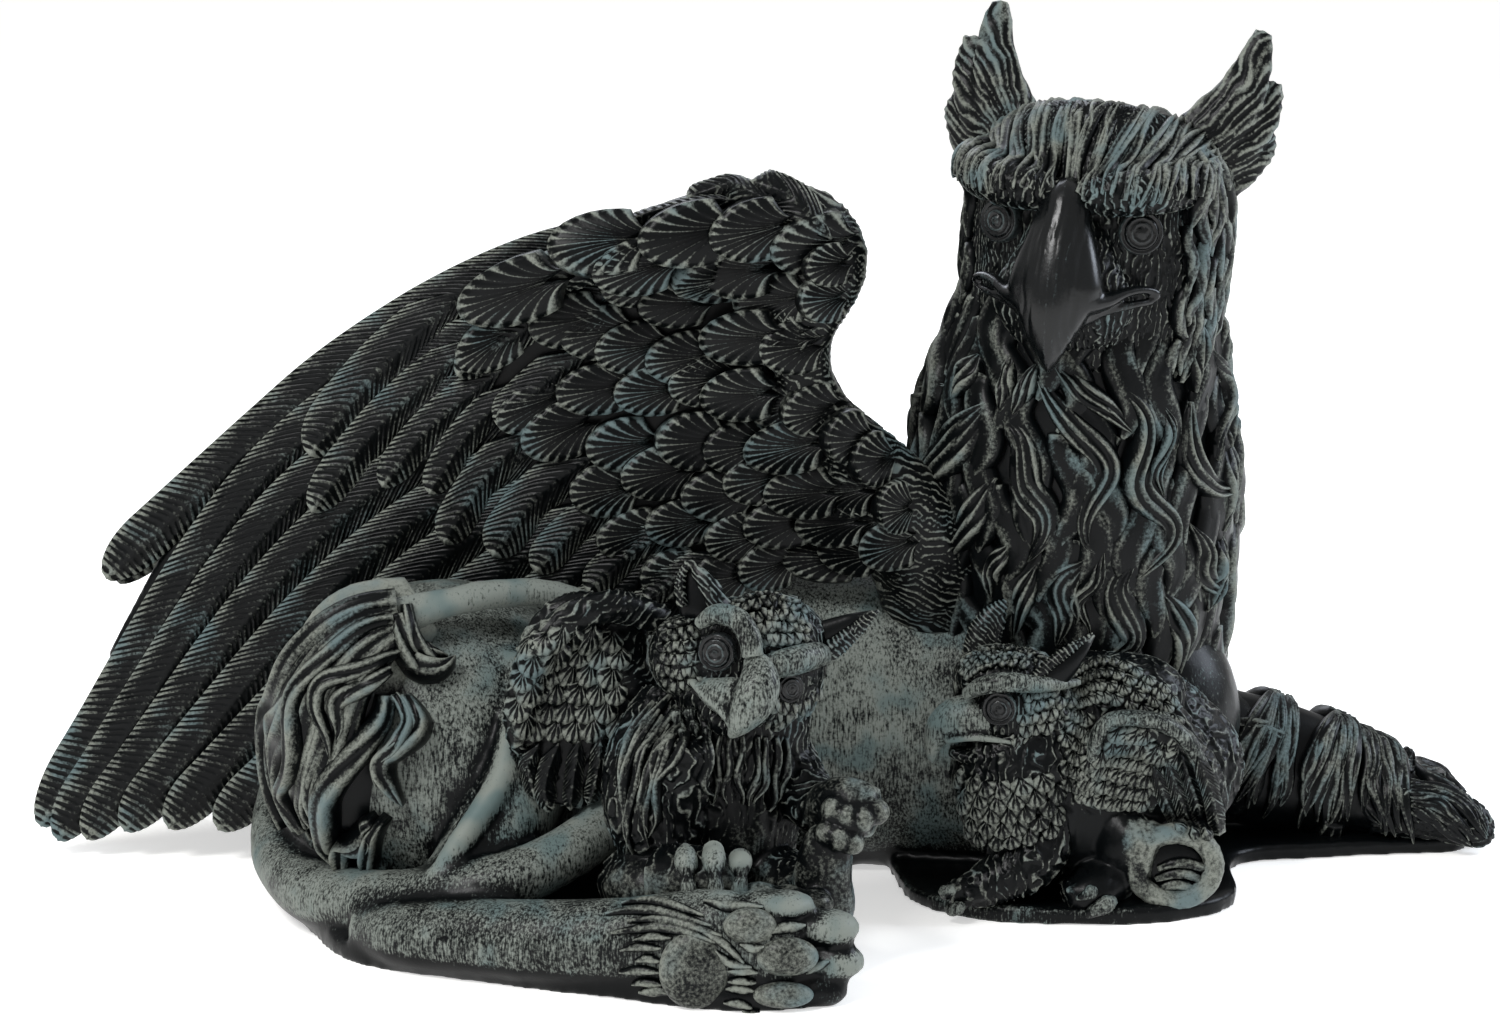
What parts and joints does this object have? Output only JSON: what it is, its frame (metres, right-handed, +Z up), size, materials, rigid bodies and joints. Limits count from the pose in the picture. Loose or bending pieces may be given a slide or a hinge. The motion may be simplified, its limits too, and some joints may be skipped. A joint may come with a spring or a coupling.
{
  "type": "griffin statue",
  "caption": "Cast statue of a reclining griffin with raised wings and a mane, two griffin cubs at its side, in one piece with a thin plinth.",
  "frame": {"origin": "centre of the bounding box in plan, on the flat underside of the plinth", "axes": "+X from the tail and wing tips to the stretched forepaw, along the longest side; +Y to the side without the cubs; +Z up"},
  "size_m": [0.2666, 0.1446, 0.1527],
  "materials": {
    "cast_resin": "satin near-black cast resin, dry-brushed grey-green on its raised carving"
  },
  "bodies": {
    "root": {"griffin_with_cubs": "cast_resin"}
  },
  "joints": []
}
